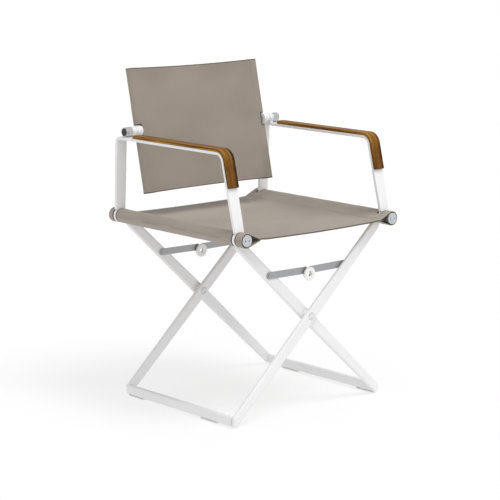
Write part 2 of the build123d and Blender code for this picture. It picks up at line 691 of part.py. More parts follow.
# ---------------------------------------------------------------- backrest cloth
# One panel with a pocket down each side for the back tube, notched where the lug comes out.
back_plane = Plane(origin=BACK_ORIGIN, x_dir=(1, 0, 0), z_dir=BACK_UP)
POCKET_IN_WIDE = BACK_TUBE_WIDE + 1.2
POCKET_IN_THICK = BACK_TUBE_THICK + 1.2
POCKET_WIDE = POCKET_IN_WIDE + 2 * CLOTH
POCKET_THICK = POCKET_IN_THICK + 2 * CLOTH
NOTCH_HALF = BOSS_R + 2.5
NOTCH_WIDE = 21.0
NOTCH_SET = 14.0  # its middle lies this far outboard of the tube's middle
with BuildPart() as back_cloth:
    with BuildSketch(back_plane.offset(-BACK_CLOTH_LENGTH / 2)):
        with Locations((-BACK_TUBE_X, 0), (BACK_TUBE_X, 0)):
            SlotOverall(POCKET_WIDE, POCKET_THICK)
        with Locations((0, (CLOTH - POCKET_THICK) / 2)):
            Rectangle(2 * BACK_TUBE_X, CLOTH)
        with Locations((-BACK_TUBE_X, 0), (BACK_TUBE_X, 0)):
            SlotOverall(POCKET_IN_WIDE, POCKET_IN_THICK, mode=Mode.SUBTRACT)
    extrude(amount=BACK_CLOTH_LENGTH)
    with BuildSketch(back_plane.offset(-NOTCH_HALF)):
        for s in (-1, 1):
            with Locations((s * (BACK_TUBE_X + NOTCH_SET), 0)):
                Rectangle(NOTCH_WIDE, 2 * POCKET_THICK)
    extrude(amount=2 * NOTCH_HALF, mode=Mode.SUBTRACT)
save(back_cloth, "back_cloth")


# ---------------------------------------------------------------- seat cloth
# One panel with a drop-shaped sleeve round each rail. The sleeves are slit for the arm eyes
# and open underneath where the legs enter the rail.
SEAM_R = CLOTH / 2 + 0.6  # the sleeve closes to this radius at its seam
SEAM_IN_R = 0.6
RAIL_PLAY = 0.4
SEAM_IN_X = 8.0  # the sleeve's inside ends this far outboard of the seam
SLIT_TALL = 60.0
LEG_PLAY = 2.0  # between a leg and each end of its notch
LEG_NOTCH_TOP = -3.4  # above the rail axis
LEG_NOTCH_DEEP = 40.0
with BuildPart() as seat_cloth:
    for s in (-1, 1):
        with BuildSketch(facing_front(SEAT_REAR_Y)):
            with Locations((s * RAIL_X, RAIL_Z)):
                Circle(SLEEVE_R)
            with Locations((s * (RAIL_X - APEX_X), RAIL_Z + APEX_Z)):
                Circle(SEAM_R)
            make_hull()
        extrude(amount=SEAT_REAR_Y - SEAT_FRONT_Y)
    with Locations((0, (SEAT_REAR_Y + SEAT_FRONT_Y) / 2, RAIL_Z + APEX_Z)):
        Box(2 * (RAIL_X - APEX_X), SEAT_REAR_Y - SEAT_FRONT_Y, CLOTH)
    for s in (-1, 1):
        with BuildSketch(facing_front(SEAT_REAR_Y)):
            with Locations((s * RAIL_X, RAIL_Z)):
                Circle(RAIL_R + RAIL_PLAY)
            with Locations((s * (RAIL_X - APEX_X + SEAM_IN_X), RAIL_Z + APEX_Z)):
                Circle(SEAM_IN_R)
            make_hull()
        extrude(amount=SEAT_REAR_Y - SEAT_FRONT_Y, mode=Mode.SUBTRACT)
        for eye_y in (REAR_EYE_Y, FRONT_EYE_Y):
            with Locations((s * RAIL_X, eye_y, RAIL_Z)):
                Box(2 * EYE_R + 2, ARM_THICK + 2 * EYE_PLAY, SLIT_TALL, mode=Mode.SUBTRACT)
        for y_near in LEG_LAYERS[s]:
            notch_y = y_near + LEG_THICK / 2
            notch_z = RAIL_Z + LEG_NOTCH_TOP - LEG_NOTCH_DEEP / 2
            with Locations((s * (RAIL_X + (LEG_NOTCH_OUT - LEG_NOTCH_IN) / 2), notch_y, notch_z)):
                Box(
                    LEG_NOTCH_OUT + LEG_NOTCH_IN,
                    LEG_THICK + 2 * LEG_PLAY,
                    LEG_NOTCH_DEEP,
                    mode=Mode.SUBTRACT,
                )
save(seat_cloth, "seat_cloth")
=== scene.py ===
"""Looks for the folding director chair: cloth, wood, paint, studio. Metres, +Z up, -Y is the front."""

import json
from math import acos, atan2, cos, hypot, pi, radians, sin, sqrt, tan

import bpy
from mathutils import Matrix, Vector, noise


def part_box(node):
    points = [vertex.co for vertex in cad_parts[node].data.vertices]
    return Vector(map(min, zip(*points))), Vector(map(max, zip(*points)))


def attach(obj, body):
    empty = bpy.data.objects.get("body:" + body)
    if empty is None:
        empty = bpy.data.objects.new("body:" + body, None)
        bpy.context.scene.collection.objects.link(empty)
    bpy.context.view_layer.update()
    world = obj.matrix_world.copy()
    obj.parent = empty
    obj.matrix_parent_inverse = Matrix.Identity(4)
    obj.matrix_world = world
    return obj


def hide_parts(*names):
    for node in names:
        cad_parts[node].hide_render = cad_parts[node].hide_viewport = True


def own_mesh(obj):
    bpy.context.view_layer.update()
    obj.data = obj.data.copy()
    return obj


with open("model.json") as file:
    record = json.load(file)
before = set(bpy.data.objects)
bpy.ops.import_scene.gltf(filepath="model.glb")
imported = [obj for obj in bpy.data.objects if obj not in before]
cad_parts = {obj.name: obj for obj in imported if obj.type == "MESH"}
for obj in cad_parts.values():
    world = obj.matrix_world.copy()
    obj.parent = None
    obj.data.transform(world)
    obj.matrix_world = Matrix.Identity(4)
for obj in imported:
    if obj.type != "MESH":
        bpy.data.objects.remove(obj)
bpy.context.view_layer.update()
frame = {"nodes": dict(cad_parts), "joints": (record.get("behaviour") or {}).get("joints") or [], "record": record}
NODES = frame["nodes"]
SIDES = (("right", -1), ("left", 1))
PLACES = ("rear", "front")
UP = Vector((0, 0, 1))


def middle(node):
    """The middle of a CAD node's box."""
    low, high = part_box(node)
    return (low + high) / 2


def size(node):
    """The size of a CAD node's box."""
    low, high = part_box(node)
    return high - low


# ---------------------------------------------------------------- camera
AZIMUTH = radians(-41.1)
ELEVATION = radians(10.6)
CAMERA_PLACE = Vector((-3.278, -3.748, 1.325))
LENS = 137.7  # millimetres
SENSOR = 36  # millimetres wide


def make_camera():
    """A long lens, well back, a little above the arms."""
    data = bpy.data.cameras.new("camera")
    data.lens = LENS
    data.sensor_width = SENSOR
    camera = bpy.data.objects.new("camera", data)
    bpy.context.scene.collection.objects.link(camera)
    looking = Vector(
        (-sin(AZIMUTH) * cos(ELEVATION), cos(AZIMUTH) * cos(ELEVATION), -sin(ELEVATION))
    )
    camera.location = CAMERA_PLACE
    camera.rotation_euler = looking.to_track_quat("-Z", "Y").to_euler()
    bpy.context.scene.camera = camera


make_camera()


# ---------------------------------------------------------------- materials
PEEL = 900  # scale of a fine orange peel on paint
SATIN = 160  # scale of the variation of a paint's gloss
YARN = 0.0011  # from one yarn of the sling cloth to the next
WAVE_REPEAT = 2 * pi / 20  # a wave texture of scale 1 repeats at this distance


class Shade:
    """A small helper for building one node material."""

    def __init__(self, name, color, rough, metal=0.0, sheen=0.0):
        self.mat = bpy.data.materials.new(name)
        self.mat.use_nodes = True
        self.tree = self.mat.node_tree
        self.bsdf = self.tree.nodes["Principled BSDF"]
        self.bsdf.inputs["Base Color"].default_value = (*color, 1)
        self.bsdf.inputs["Roughness"].default_value = rough
        self.bsdf.inputs["Metallic"].default_value = metal
        self.bsdf.inputs["Sheen Weight"].default_value = sheen
        self.mat.diffuse_color = (*color, 1)
        self.last_bump = None

    def feed(self, socket, value):
        """Fills one input: another node's output is linked, anything else is set."""
        if isinstance(value, bpy.types.NodeSocket):
            self.tree.links.new(value, socket)
        elif socket.type == "RGBA":
            socket.default_value = (*value, 1)
        else:
            socket.default_value = value

    def node(self, kind, **inputs):
        """Adds a node and fills its inputs by name."""
        made = self.tree.nodes.new(kind)
        for key, value in inputs.items():
            self.feed(made.inputs[key], value)
        return made

    def coords(self, scale=(1, 1, 1), kind="Object"):
        """Texture coordinates in metres, stretched by scale."""
        source = self.node("ShaderNodeTexCoord")
        mapping = self.node("ShaderNodeMapping", Vector=source.outputs[kind])
        mapping.inputs["Scale"].default_value = scale
        return mapping.outputs["Vector"]

    def noise(self, where, scale, detail=3.0, rough=0.5):
        """Smooth noise from 0 to 1."""
        made = self.node(
            "ShaderNodeTexNoise", Vector=where, Scale=scale, Detail=detail, Roughness=rough
        )
        return made.outputs["Fac"]

    def wave(self, where, scale, direction, twist=0.0, detail=0.0):
        """A sine wave of bands along one direction."""
        made = self.node("ShaderNodeTexWave", Vector=where, Scale=scale, Distortion=twist)
        made.inputs["Detail"].default_value = detail
        made.bands_direction = direction
        made.wave_profile = "SIN"
        return made.outputs["Fac"]

    def math(self, how, a, b):
        """One arithmetic step on two values."""
        made = self.tree.nodes.new("ShaderNodeMath")
        made.operation = how
        for socket, value in zip(made.inputs, (a, b)):
            self.feed(socket, value)
        return made.outputs[0]

    def ramp(self, value, *stops):
        """A colour ramp: stops are (place, colour)."""
        made = self.node("ShaderNodeValToRGB", Fac=value)
        ends = made.color_ramp.elements
        while len(ends) < len(stops):
            ends.new(0.5)
        for end, (place, color) in zip(ends, stops):
            end.position = place
            end.color = (*color, 1)
        return made.outputs["Color"]

    def blend(self, fac, a, b, how="MIX"):
        """Mixes two colours."""
        made = self.tree.nodes.new("ShaderNodeMix")
        made.data_type = "RGBA"
        made.blend_type = how
        first, second = made.inputs[6], made.inputs[7]  # the two colours of a colour mix
        for socket, value in ((made.inputs["Factor"], fac), (first, a), (second, b)):
            self.feed(socket, value)
        return made.outputs[2]  # its colour

    def height(self, low, high):
        """0 at the height low and below, 1 at high and above, in metres on the object."""
        source = self.node("ShaderNodeTexCoord")
        split = self.node("ShaderNodeSeparateXYZ", Vector=source.outputs["Object"])
        made = self.node("ShaderNodeMapRange", Value=split.outputs["Z"])
        made.inputs["From Min"].default_value = low
        made.inputs["From Max"].default_value = high
        return made.outputs["Result"]

    def from_axis(self, z):
        """Distance in metres from the chair's own front-to-rear axis at this height."""
        source = self.node("ShaderNodeTexCoord")
        mapping = self.node("ShaderNodeMapping", Vector=source.outputs["Object"])
        mapping.inputs["Location"].default_value = (0, 0, -z)
        mapping.inputs["Scale"].default_value = (1, 0, 1)
        made = self.node("ShaderNodeVectorMath", Vector=mapping.outputs["Vector"])
        made.operation = "LENGTH"
        return made.outputs["Value"]

    def color(self, socket):
        """Links the base colour."""
        self.tree.links.new(socket, self.bsdf.inputs["Base Color"])
        return self

    def rough(self, value, low, high):
        """Roughness between low and high, from a 0 to 1 value."""
        made = self.node("ShaderNodeMapRange", Value=value)
        made.inputs["To Min"].default_value = low
        made.inputs["To Max"].default_value = high
        self.tree.links.new(made.outputs["Result"], self.bsdf.inputs["Roughness"])
        return self

    def bump(self, height, depth, strength=1.0):
        """Adds one layer of relief, with its depth in metres."""
        made = self.node("ShaderNodeBump", Height=height, Distance=depth, Strength=strength)
        if self.last_bump is not None:
            self.tree.links.new(self.last_bump, made.inputs["Normal"])
        self.last_bump = made.outputs["Normal"]
        self.tree.links.new(self.last_bump, self.bsdf.inputs["Normal"])
        return self


def powder_coat(name, color):
    """Satin white paint with a fine orange peel and the faintest variation of tone."""
    s = Shade(name, color, 0.42)
    where = s.coords()
    peel = s.noise(where, PEEL, 2.0)
    tone = s.noise(where, 9, 3.0)
    darker = tuple(c * 0.955 for c in color)
    s.color(s.ramp(tone, (0.3, darker), (0.7, color)))
    s.rough(s.noise(where, SATIN, 3.0), 0.36, 0.5)
    s.bump(peel, 0.00006)
    return s.mat


def pivot_paint(name, color, axis_z, rim_r):
    """Painted bolt heads: the paint is worn, and a dark ring painted round the rim stands for the shade in the gap
    round the head.
    """
    s = Shade(name, color, 0.4)
    to_rim = s.math("DIVIDE", s.from_axis(axis_z), rim_r)
    # painted shade: a dark ring at the rim of the head, for the shade in the gap round it
    rim_shade = s.ramp(to_rim, (0.86, (1, 1, 1)), (0.95, (0.22, 0.22, 0.23)))
    tone = s.ramp(s.noise(s.coords(), 260, 3.0), (0.3, tuple(c * 0.9 for c in color)), (0.6, color))
    s.color(s.blend(1.0, tone, rim_shade, "MULTIPLY"))
    s.rough(s.noise(s.coords(), SATIN, 3.0), 0.32, 0.48)
    s.bump(s.noise(s.coords(), PEEL, 2.0), 0.00006)
    return s.mat


def moulded(name, color, rough=0.5):
    """Moulded plastic with a fine grain."""
    s = Shade(name, color, rough)
    where = s.coords()
    lighter = tuple(min(1, c * 1.08 + 0.005) for c in color)
    s.color(s.ramp(s.noise(where, 60, 4.0), (0.35, color), (0.7, lighter)))
    s.rough(s.noise(where, 220, 3.0), rough - 0.07, rough + 0.1)
    s.bump(s.noise(where, 1800, 2.0), 0.00005)
    return s.mat


def brushed(name, color, rough, stretch, metal=1.0):
    """Brushed or turned metal: fine lines across the stretched direction, smudges in the gloss."""
    s = Shade(name, color, rough, metal)
    lines = s.noise(s.coords(stretch), 1.0, 4.0, 0.7)
    smudge = s.noise(s.coords(), 35, 4.0)
    darker = tuple(c * 0.86 for c in color)
    s.color(s.ramp(lines, (0.3, darker), (0.7, color)))
    s.rough(s.math("ADD", s.math("MULTIPLY", lines, 0.6), s.math("MULTIPLY", smudge, 0.4)),
            rough - 0.08, rough + 0.12)
    s.bump(lines, 0.00004)
    return s.mat


def sling_cloth(name, color, along, across):
    """Coated yarns woven over and under: ribs along two of the object's own axes."""
    s = Shade(name, color, 0.78, sheen=0.12)
    s.bsdf.inputs["Sheen Roughness"].default_value = 0.5
    s.bsdf.inputs["Specular IOR Level"].default_value = 0.32
    where = s.coords()
    weave = WAVE_REPEAT / YARN
    warp = s.wave(where, weave, along)
    weft = s.wave(where, weave, across)
    over = s.math("MAXIMUM", s.math("POWER", warp, 0.7), s.math("MULTIPLY", weft, 0.92))
    slub = s.noise(s.coords((420, 30, 420)), 1.0, 3.0, 0.6)
    cloud = s.noise(s.coords((4.5, 4.5, 7)), 1.0, 2.0)
    fine = s.noise(where, 1300, 2.0)
    dark = tuple(c * 0.62 for c in color)
    light = tuple(min(1, c * 1.12) for c in color)
    yarn = s.ramp(over, (0.12, dark), (0.62, color), (0.95, light))
    streaked = s.blend(s.math("MULTIPLY", slub, 0.35), yarn, light)
    clouded = s.ramp(cloud, (0.36, (0.86, 0.86, 0.85)), (0.60, (1.0, 1.0, 1.0)))
    s.color(s.blend(1.0, streaked, clouded, "MULTIPLY"))
    s.rough(fine, 0.7, 0.88)
    s.bump(over, 0.00022)
    s.bump(fine, 0.00005)
    return s.mat


SHADED_BELOW = 0.66  # painted shade: the wood is painted darker below this height, for the shade on the posts under the lit top
LIT_ABOVE = 0.70


def oiled_teak(name):
    """Straight-grained teak. The grain follows the bent strip through its own map, in metres."""
    s = Shade(name, (0.30, 0.125, 0.03), 0.4)
    s.bsdf.inputs["Specular IOR Level"].default_value = 0.14
    drift = s.noise(s.coords((5, 90, 1), "UV"), 1.0, 3.0, 0.55)
    grain = s.noise(s.coords((7, 420, 1), "UV"), 1.0, 6.0, 0.62)
    pores = s.noise(s.coords((55, 2600, 1), "UV"), 1.0, 2.0, 0.5)
    bands = s.wave(s.coords((1, 60, 1), "UV"), 1.5, "Y", 6.0, 3.0)
    tone = s.math("ADD", s.math("MULTIPLY", grain, 0.50), s.math("MULTIPLY", bands, 0.18))
    tone = s.math("ADD", tone, s.math("MULTIPLY", drift, 0.32))
    wood = s.ramp(
        tone,
        (0.36, (0.030, 0.008, 0.0008)),
        (0.45, (0.130, 0.045, 0.002)),
        (0.52, (0.255, 0.105, 0.007)),
        (0.64, (0.56, 0.29, 0.045)),
    )
    pitted = s.ramp(pores, (0.36, (0.42, 0.36, 0.3)), (0.46, (1, 1, 1)))
    # painted shade: the posts are darkened and the top kept light, as the light falls from above
    post_shade = s.ramp(s.height(SHADED_BELOW, LIT_ABOVE), (0.0, (0.58, 0.54, 0.46)), (1.0, (1, 1, 1)))
    pitted_and_shaded = s.blend(1.0, s.blend(0.75, wood, pitted, "MULTIPLY"), post_shade, "MULTIPLY")
    s.color(pitted_and_shaded)
    s.rough(grain, 0.38, 0.55)
    s.bump(grain, 0.00018)
    s.bump(pores, 0.00012)
    return s.mat


def thread_finish(name, color):
    """Twisted sewing thread."""
    s = Shade(name, color, 0.7, sheen=0.15)
    twist = s.noise(s.coords((1, 1, 1)), 2400, 2.0)
    darker = tuple(c * 0.6 for c in color)
    s.color(s.ramp(twist, (0.35, darker), (0.6, color)))
    s.bump(twist, 0.0001)
    return s.mat


PIVOT_Z = middle("crossing_bolt_rear").z
BOLT_HEAD_R = size("crossing_bolt_rear").x / 2
BACK_TAUPE = (0.298, 0.256, 0.214)
SEAT_TAUPE = (0.345, 0.299, 0.255)
# painted shade: a dark taupe for the cloth's edges, slits and notches, where shade falls
EDGE_SHADE_TAUPE = (0.085, 0.070, 0.055)
MATERIALS = {  # colours are linear
    "frame_paint": powder_coat("frame_paint", (0.80, 0.80, 0.805)),
    "pivot_metal": pivot_paint("pivot_metal", (0.74, 0.745, 0.75), PIVOT_Z, BOLT_HEAD_R),
    "grey_metal": brushed("grey_metal", (0.42, 0.425, 0.435), 0.42, (18, 400, 900), 0.75),
    "steel": brushed("steel", (0.76, 0.765, 0.77), 0.35, (30, 500, 500)),
    "dark_steel": brushed("dark_steel", (0.06, 0.06, 0.065), 0.4, (300, 300, 300)),
    "knob_metal": brushed("knob_metal", (0.66, 0.67, 0.68), 0.27, (60, 700, 700)),
    "knob_dark": moulded("knob_dark", (0.012, 0.012, 0.013), 0.45),
    "cap_plastic": moulded("cap_plastic", (0.45, 0.475, 0.51), 0.42),
    "white_plastic": moulded("white_plastic", (0.78, 0.78, 0.77), 0.4),
    "foot_plastic": moulded("foot_plastic", (0.70, 0.70, 0.69), 0.6),
    "wood": oiled_teak("wood"),
    "back_cloth": sling_cloth("back_cloth", BACK_TAUPE, "X", "Z"),
    "seat_cloth": sling_cloth("seat_cloth", SEAT_TAUPE, "X", "Y"),
    # painted shade: dark copies of the cloths for their edges, slits and notches
    "back_edge": sling_cloth("back_edge", EDGE_SHADE_TAUPE, "X", "Z"),
    "seat_edge": sling_cloth("seat_edge", EDGE_SHADE_TAUPE, "X", "Y"),
    "thread": thread_finish("thread", (0.30, 0.26, 0.215)),
}


def finish(piece, name):
    """Gives a piece one material."""
    piece.data.materials.clear()
    piece.data.materials.append(MATERIALS[name])


for part in frame["record"]["subparts"]:
    if part["material_slot"] in MATERIALS:
        finish(NODES[part["node"]], part["material_slot"])


for side_name, _ in SIDES:
    finish(NODES[f"back_knob_screw_{side_name}"], "dark_steel")


# ---------------------------------------------------------------- mesh helpers
def make_mesh(name, points, faces):
    """A smooth-shaded mesh object from points and faces."""
    data = bpy.data.meshes.new(name)
    data.from_pydata([tuple(p) for p in points], [], faces)
    data.validate()
    data.update()
    for face in data.polygons:
        face.use_smooth = True
    piece = bpy.data.objects.new(name, data)
    bpy.context.scene.collection.objects.link(piece)
    return piece


def paint_edge_shade(piece, name, at_edge):
    """Gives the faces along a cut edge their own, darker finish: painted shade, for the shade along the edge."""
    piece.data.materials.append(MATERIALS[name])
    for face in piece.data.polygons:
        if at_edge(face.center):
            face.material_index = 1


def apply_modifiers(piece):
    """Bakes a piece's modifiers into its mesh."""
    graph = bpy.context.evaluated_depsgraph_get()
    data = bpy.data.meshes.new_from_object(piece.evaluated_get(graph))
    piece.modifiers.clear()
    piece.data = data
    return piece


def steps(low, high, spacing, *stops):
    """Values from low to high about spacing apart, that also land on each stop."""
    marks = sorted({low, high, *[s for s in stops if low < s < high]})
    values = [low]
    for a, b in zip(marks, marks[1:]):
        count = max(1, round((b - a) / spacing))
        values += [a + (b - a) * (i + 1) / count for i in range(count)]
    return values


def smooth(low, high, value):
    """0 below low, 1 above high, and an S between them."""
    t = min(1, max(0, (value - low) / (high - low)))
    return t * t * (3 - 2 * t)


def ripple(point, scale, seed):
    """Smooth noise from -1 to 1 at a point."""
    return noise.noise(Vector(point) * scale + Vector((seed, seed * 1.7, seed * 0.3)))


def cloth_sheet(name, us, vs, place, normal, half):
    """A closed thin sheet. place(u, v) is its middle, half(u, v) half its thickness."""
    points = []
    for side in (1, -1):
        for v in vs:
            for u in us:
                points.append(place(u, v) + normal * (side * half(u, v)))
    wide, long = len(us), len(vs)
    layer = wide * long
    faces = []
    for j in range(long - 1):
        for i in range(wide - 1):
            a = j * wide + i
            faces.append((a, a + 1, a + wide + 1, a + wide))
            faces.append((layer + a, layer + a + wide, layer + a + wide + 1, layer + a + 1))
    rim = list(range(wide)) + [j * wide + wide - 1 for j in range(1, long)]
    rim += [(long - 1) * wide + i for i in range(wide - 2, -1, -1)]
    rim += [j * wide for j in range(long - 2, 0, -1)]
    for a, b in zip(rim, rim[1:] + rim[:1]):
        faces.append((b, a, layer + a, layer + b))
    return make_mesh(name, points, faces)


def cloth_sleeve(name, outline, stations, place, keep, thickness):
    """A tube of cloth. outline is a loop of points, place(point, station) puts them in space."""
    count = len(outline)
    points = [place(p, v) for v in stations for p in outline]
    faces = []
    for j in range(len(stations) - 1):
        for i in range(count):
            k = (i + 1) % count
            mid_v = (stations[j] + stations[j + 1]) / 2
            mid = (outline[i] + outline[k]) / 2
            if keep(mid, mid_v):
                a, b = j * count + i, j * count + k
                faces.append((a, b, b + count, a + count))
    piece = make_mesh(name, points, faces)
    solid = piece.modifiers.new("cloth", "SOLIDIFY")
    solid.thickness = thickness
    solid.offset = -1
    return apply_modifiers(piece)


def arc(centre, radius, start, turn, count):
    """Points on an arc, both ends included."""
    angles = [start + turn * i / count for i in range(count + 1)]
    return [centre + Vector((cos(a), sin(a))) * radius for a in angles]


def between(a, b, spacing):
    """Points on the straight from a to b, without its ends."""
    runs = max(2, round((b - a).length / spacing))
    return [a.lerp(b, i / runs) for i in range(1, runs)]


def hull_outline(big_at, big_r, small_at, small_r, spacing):
    """The loop of cloth pulled round a big round and a small one, anticlockwise."""
    apart = small_at - big_at
    axis = atan2(apart.y, apart.x)
    touch = acos((big_r - small_r) / apart.length)
    round_turn = 2 * pi - 2 * touch
    big = arc(big_at, big_r, axis + touch, round_turn, round(round_turn * big_r / spacing))
    small = arc(small_at, small_r, axis - touch, 2 * touch, 6)
    return (
        big
        + between(big[-1], small[0], spacing)
        + small
        + between(small[-1], big[0], spacing)
    )


def slot_outline(middle_at, wide, thick, spacing):
    """The loop round an oval tube, anticlockwise from its right end."""
    r = thick / 2
    reach = Vector(((wide - thick) / 2, 0))
    turns = max(6, round(pi * r / spacing))
    right = arc(middle_at + reach, r, -pi / 2, pi, turns)
    left = arc(middle_at - reach, r, pi / 2, pi, turns)
    return right + between(right[-1], left[0], spacing) + left + between(left[-1], right[0], spacing)


STITCH_PITCH = 0.0042
STITCH_LENGTH = 0.0031
STITCH_R = 0.00042
STITCH_RINGS = ((-1.0, 0.15), (-0.72, 0.8), (0.0, 1.0), (0.72, 0.8), (1.0, 0.15))  # place, width
STITCH_SIDES = 6
STITCH_DIP = 0.9  # a stitch's ends dip into the cloth by this share of its radius
SEW_STEP = 0.03  # a row of stitches follows the cloth in straight runs this long


def sewn(marks, place, up):
    """Stitch lines through place(mark) for each mark, with up pointing out of the cloth."""
    return [(place(a), place(b), up) for a, b in zip(marks, marks[1:])]


def stitches(name, lines, lift):
    """Rows of thread. Each line is (from, to, up): the stitches lie on it, half sunk in the cloth."""
    points, faces = [], []
    for a, b, up in lines:
        run = b - a
        count = max(1, round(run.length / STITCH_PITCH))
        along = run.normalized()
        out = along.cross(up).normalized()
        for i in range(count):
            centre = a + run * ((i + 0.5) / count) + up * lift
            first = len(points)
            for place, wide in STITCH_RINGS:
                for k in range(STITCH_SIDES):
                    turn = 2 * pi * k / STITCH_SIDES
                    offset = out * cos(turn) + up * sin(turn)
                    points.append(
                        centre
                        + along * (place * STITCH_LENGTH / 2)
                        + offset * (STITCH_R * wide)
                        - up * (STITCH_R * STITCH_DIP * place * place)
                    )
            last = first + (len(STITCH_RINGS) - 1) * STITCH_SIDES
            for ring in range(first, last, STITCH_SIDES):
                for k in range(STITCH_SIDES):
                    p, q = ring + k, ring + (k + 1) % STITCH_SIDES
                    faces.append((p, q, q + STITCH_SIDES, p + STITCH_SIDES))
            faces.append(tuple(first + k for k in reversed(range(STITCH_SIDES))))
            faces.append(tuple(last + k for k in range(STITCH_SIDES)))
    piece = make_mesh(name, points, faces)
    finish(piece, "thread")
    return piece


# ---------------------------------------------------------------- folding
PIVOT = middle("crossing_bolt_rear")
RAIL = middle("seat_rail_left")
LEG = Vector((RAIL.x, RAIL.z - PIVOT.z))
FOLD = next(j for j in frame["joints"] if j["name"] == "fold")["range_deg"][1]
FOLDED_X = LEG.length * cos(atan2(LEG.y, LEG.x) + radians(FOLD))


def crumple(piece, half_wide):
    """Gives a panel its own copy of its mesh."""
    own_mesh(piece)


# ---------------------------------------------------------------- seat
SEAT_LOW, SEAT_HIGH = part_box("seat_cloth")
SLEEVE_R = SEAT_HIGH.x - RAIL.x
CLOTH = 0.0018
SLEEVE_CLOTH = 0.00135
CLOTH_GRID = 0.006  # from one row of mesh points to the next
THINNEST = 0.00012  # half the thickness where a sheet tapers out
LAP_TAPER = 0.85  # share of the thickness lost where a panel laps over its sleeve
GROOVE = 0.00035  # depth the thread is drawn into the hem
SEAT_GROOVE = 0.0022  # half the groove's width in the seat
BACK_GROOVE = 0.0018  # and in the back
EDGE_STEPS = (0.0006, 0.0013)  # closer rows of points where a sheet's edge is rounded
SEAT_SAG = 0.0042
APEX = Vector((RAIL.x - 0.042, RAIL.z - 0.002))  # the sleeve's seam, in X and Z
APEX_R = 0.0019
SLEEVE_SLOPE = 0.44  # rise of the sleeve from its seam towards the rail
SLEEVE_EASE = 0.0002  # room for the cloth's small waves
SLEEVE_GRID = 0.0032  # from one mesh point of the sleeve's outline to the next
SEAT_LAP = 0.006  # the panel's edge is sewn on top of the sleeve
HEM = 0.024
HEM_STITCH = HEM - 0.006
SEAM_IN_LAP = 0.0015  # the seam's stitches lie this far out on the lap
ROW_END = 0.004  # rows of stitches stop this short of the edges
EDGE_SHADE_WIDE = 0.0024  # width of the painted shade along the cloth's edges
EYE_SHADE_WIDE = 0.0034  # width of the painted shade beside the slits round the arm eyes
BAR_HALF = 0.004
EYE_PLAY = 0.0009
EYES = [
    (y - BAR_HALF - EYE_PLAY, y + BAR_HALF + EYE_PLAY)
    for y in (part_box("arm_left")[1].y - BAR_HALF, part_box("arm_left")[0].y + BAR_HALF)
]
EYE_HALF = 0.0197
LEG_PLAY = 0.002
LEG_NOTCH_OUT = 0.0075  # the leg's notch ends this far outboard of the rail axis
LEG_NOTCH_TOP = -0.0034  # and this far above it


def leg_slots(side):
    """Where the legs of one rail pass through the sleeve: (low y, high y) of each."""
    foot = "right" if side > 0 else "left"
    found = []
    for place in PLACES:
        low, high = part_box(f"leg_{place}_on_{foot}_foot")
        found.append((low.y - LEG_PLAY, high.y + LEG_PLAY))
    return found


def seat_depth(y):
    """How far this place is from the nearer of the seat's front and rear edges."""
    return min(y - SEAT_LOW.y, SEAT_HIGH.y - y)


def seat_place(x, y):
    """The middle of the stretched seat: a shallow sag, drawn tight at the rails and the hems."""
    span = max(0, 1 - (x / APEX.x) ** 2)
    past = max(0, abs(x) - APEX.x)
    sag = SEAT_SAG * span * (0.55 + 0.45 * smooth(0, 0.11, seat_depth(y)))
    drag = 0.0009 * ripple((x * 0.5, y * 3.2, 0), 6, 2.0) * span
    tug = 0.0007 * ripple((x * 0.8, y * 30, 0), 1, 5.0) * smooth(0.13, 0.2, abs(x))
    lift = 0.0013 * smooth(APEX.x - 0.03, APEX.x, abs(x)) + past * SLEEVE_SLOPE
    return Vector((x, y, APEX.y - sag + drag + tug + lift))


def edge_round(depth, width):
    """Rounds a sheet's edge off: 1 inside, falling to a little at the very edge."""
    return sqrt(max(0.02, min(1, depth / width)))


def seat_half(x, y):
    """Half the thickness: two layers at the hem, thin where it laps over the sleeve."""
    depth = seat_depth(y)
    thick = CLOTH / 2 * (2 - smooth(HEM - 0.003, HEM, depth))
    groove = GROOVE * max(0, 1 - abs(depth - HEM_STITCH) / SEAT_GROOVE)
    lap = 1 - LAP_TAPER * smooth(APEX.x - 0.001, APEX.x + SEAT_LAP, abs(x))
    return max(THINNEST, (thick - groove) * edge_round(depth, 0.0022) * lap)


def make_seat():
    """The sling seat: a panel between two sleeves sewn round the rails."""
    hem = (HEM_STITCH - SEAT_GROOVE, HEM_STITCH, HEM_STITCH + SEAT_GROOVE, HEM)
    marks = [e for d in (*EDGE_STEPS, EDGE_SHADE_WIDE, *hem) for e in (SEAT_LOW.y + d, SEAT_HIGH.y - d)]
    ys = steps(SEAT_LOW.y, SEAT_HIGH.y, CLOTH_GRID, *marks)
    reach = APEX.x + SEAT_LAP
    xs = steps(-reach, reach, 0.009, -APEX.x, -APEX.x + 0.003, APEX.x - 0.003, APEX.x)
    panel = cloth_sheet("seat_panel", xs, ys, seat_place, UP, seat_half)
    finish(panel, "seat_cloth")
    # painted shade along the seat's front and rear edges
    paint_edge_shade(panel, "seat_edge", lambda at: seat_depth(at.y) < EDGE_SHADE_WIDE)
    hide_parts("seat_cloth")
    rows = []
    for y in (SEAT_LOW.y + HEM_STITCH, SEAT_HIGH.y - HEM_STITCH):
        marks = steps(-APEX.x + ROW_END, APEX.x - ROW_END, SEW_STEP)
        top = UP * seat_half(0, y)
        rows += sewn(marks, lambda x: seat_place(x, y) + top, UP)
    for x in (-APEX.x - SEAM_IN_LAP, APEX.x + SEAM_IN_LAP):
        marks = steps(SEAT_LOW.y + ROW_END, SEAT_HIGH.y - ROW_END, SEW_STEP)
        top = UP * seat_half(x, 0)
        rows += sewn(marks, lambda y: seat_place(x, y) + top, UP)
    thread = stitches("seat_stitching", rows, 0.0)
    for piece in (panel, thread):
        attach(piece, "side_right")
        crumple(piece, APEX.x)
    for name, s in SIDES:
        make_seat_sleeve(name, s)


